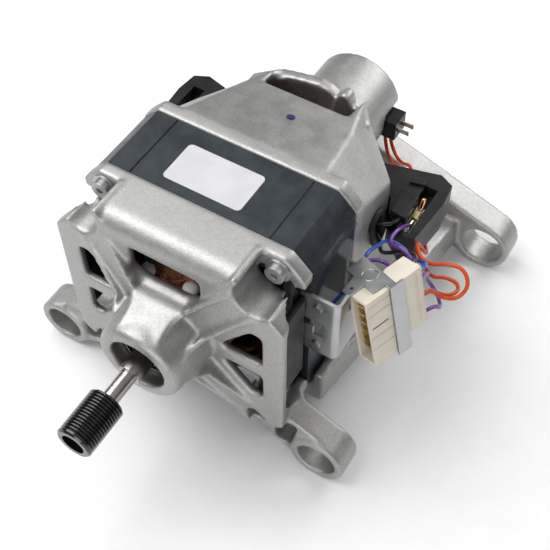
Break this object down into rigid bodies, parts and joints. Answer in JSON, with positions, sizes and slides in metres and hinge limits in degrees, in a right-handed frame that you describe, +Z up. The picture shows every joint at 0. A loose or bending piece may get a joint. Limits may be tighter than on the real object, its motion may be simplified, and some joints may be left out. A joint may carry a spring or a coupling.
{
  "type": "washing machine motor",
  "caption": "Belt-drive universal motor with cast end frames, four mounting lugs, ribbed pulley, brush holders, speed sensor and a side terminal block.",
  "frame": {"origin": "on the shaft axis, in the middle of the pulley's belt track", "axes": "+Y along the shaft from the pulley to the rear, +X to the terminal block side, +Z up; the part stands on its lug bottoms at z = -81.4 mm"},
  "size_m": [0.2274, 0.2672, 0.1421],
  "materials": {
    "black_coated_steel": "glossy black coating",
    "black_insulation": "extruded",
    "black_moulding": "moulded thermoset",
    "black_rubber": "moulded",
    "blue_insulation": "extruded",
    "brass_blade": "stamped",
    "carbon": "pressed carbon",
    "cast_alloy": "as cast, fine shot-blasted grain",
    "clear_film": "clear polyester film",
    "copper_bar": null,
    "copper_wire": null,
    "dark_magnet": "moulded magnet",
    "ivory_moulding": "moulded",
    "orange_insulation": "extruded",
    "pale_moulding": "plain moulding",
    "polished_steel": "ground",
    "sheet_steel": "dark blued laminations",
    "spring_steel": "drawn wire",
    "tinned_brass": "tin plate",
    "violet_insulation": "extruded",
    "white_label": "paper, no print",
    "zinc_plate": "bright zinc plate"
  },
  "bodies": {
    "housing": {"bracket_rivets": "zinc_plate", "brush_holder_left": "black_moulding", "brush_holder_right": "black_moulding", "brush_spring_left": "spring_steel", "brush_spring_right": "spring_steel", "brush_terminal_left": "tinned_brass", "brush_terminal_right": "tinned_brass", "field_coil_lower": "copper_wire", "field_coil_upper": "copper_wire", "frame_screws": "zinc_plate", "front_bearing_outer_ring": "polished_steel", "front_coil_insulator": "pale_moulding", "front_end_frame": "cast_alloy", "insulating_film": "clear_film", "lead_grommet": "black_rubber", "leads_black": "black_insulation", "leads_blue": "blue_insulation", "leads_orange": "orange_insulation", "leads_violet": "violet_insulation", "rear_bearing_outer_ring": "polished_steel", "rear_coil_insulator": "pale_moulding", "rear_end_frame": "cast_alloy", "screw_washers": "zinc_plate", "sensor_cap": "black_moulding", "sensor_coil": "black_moulding", "sensor_plug": "black_moulding", "sensor_prongs": "tinned_brass", "side_bracket": "zinc_plate", "stack_sticker": "white_label", "stator_stack": "sheet_steel", "terminal_block": "ivory_moulding", "terminal_carrier": "zinc_plate", "terminal_pins": "brass_blade"},
    "rotor": {"shaft": "polished_steel", "rotor_core": "sheet_steel", "armature_end_discs": "pale_moulding", "armature_winding": "copper_wire", "commutator": "copper_bar", "pulley": "black_coated_steel", "sensor_magnet": "dark_magnet", "front_bearing_inner_ring": "polished_steel", "rear_bearing_inner_ring": "polished_steel"},
    "front_ball_train": {"front_bearing_balls": "polished_steel"},
    "rear_ball_train": {"rear_bearing_balls": "polished_steel"},
    "brush_right": {"carbon_brush_right": "carbon"},
    "brush_left": {"carbon_brush_left": "carbon"}
  },
  "joints": [
    {"name": "rotor_spin", "type": "hinge", "parent": "housing", "child": "rotor", "pos_m": [0, 0, 0], "axis": [0, 1, 0], "continuous": true},
    {"name": "front_ball_spin", "type": "hinge", "parent": "housing", "child": "front_ball_train", "pos_m": [0, 0.047, 0], "axis": [0, 1, 0], "continuous": true},
    {"name": "rear_ball_spin", "type": "hinge", "parent": "housing", "child": "rear_ball_train", "pos_m": [0, 0.215, 0], "axis": [0, 1, 0], "continuous": true},
    {"name": "brush_slide_right", "type": "slide", "parent": "housing", "child": "brush_right", "axis": [1, 0, 0], "range_m": [0, 0.004], "deforming": ["brush_spring_right"]},
    {"name": "brush_slide_left", "type": "slide", "parent": "housing", "child": "brush_left", "axis": [-1, 0, 0], "range_m": [0, 0.004], "deforming": ["brush_spring_left"]}
  ],
  "couplings": [
    {"joint": "front_ball_spin", "follows": "rotor_spin", "ratio": 0.3659},
    {"joint": "rear_ball_spin", "follows": "rotor_spin", "ratio": 0.3659}
  ]
}
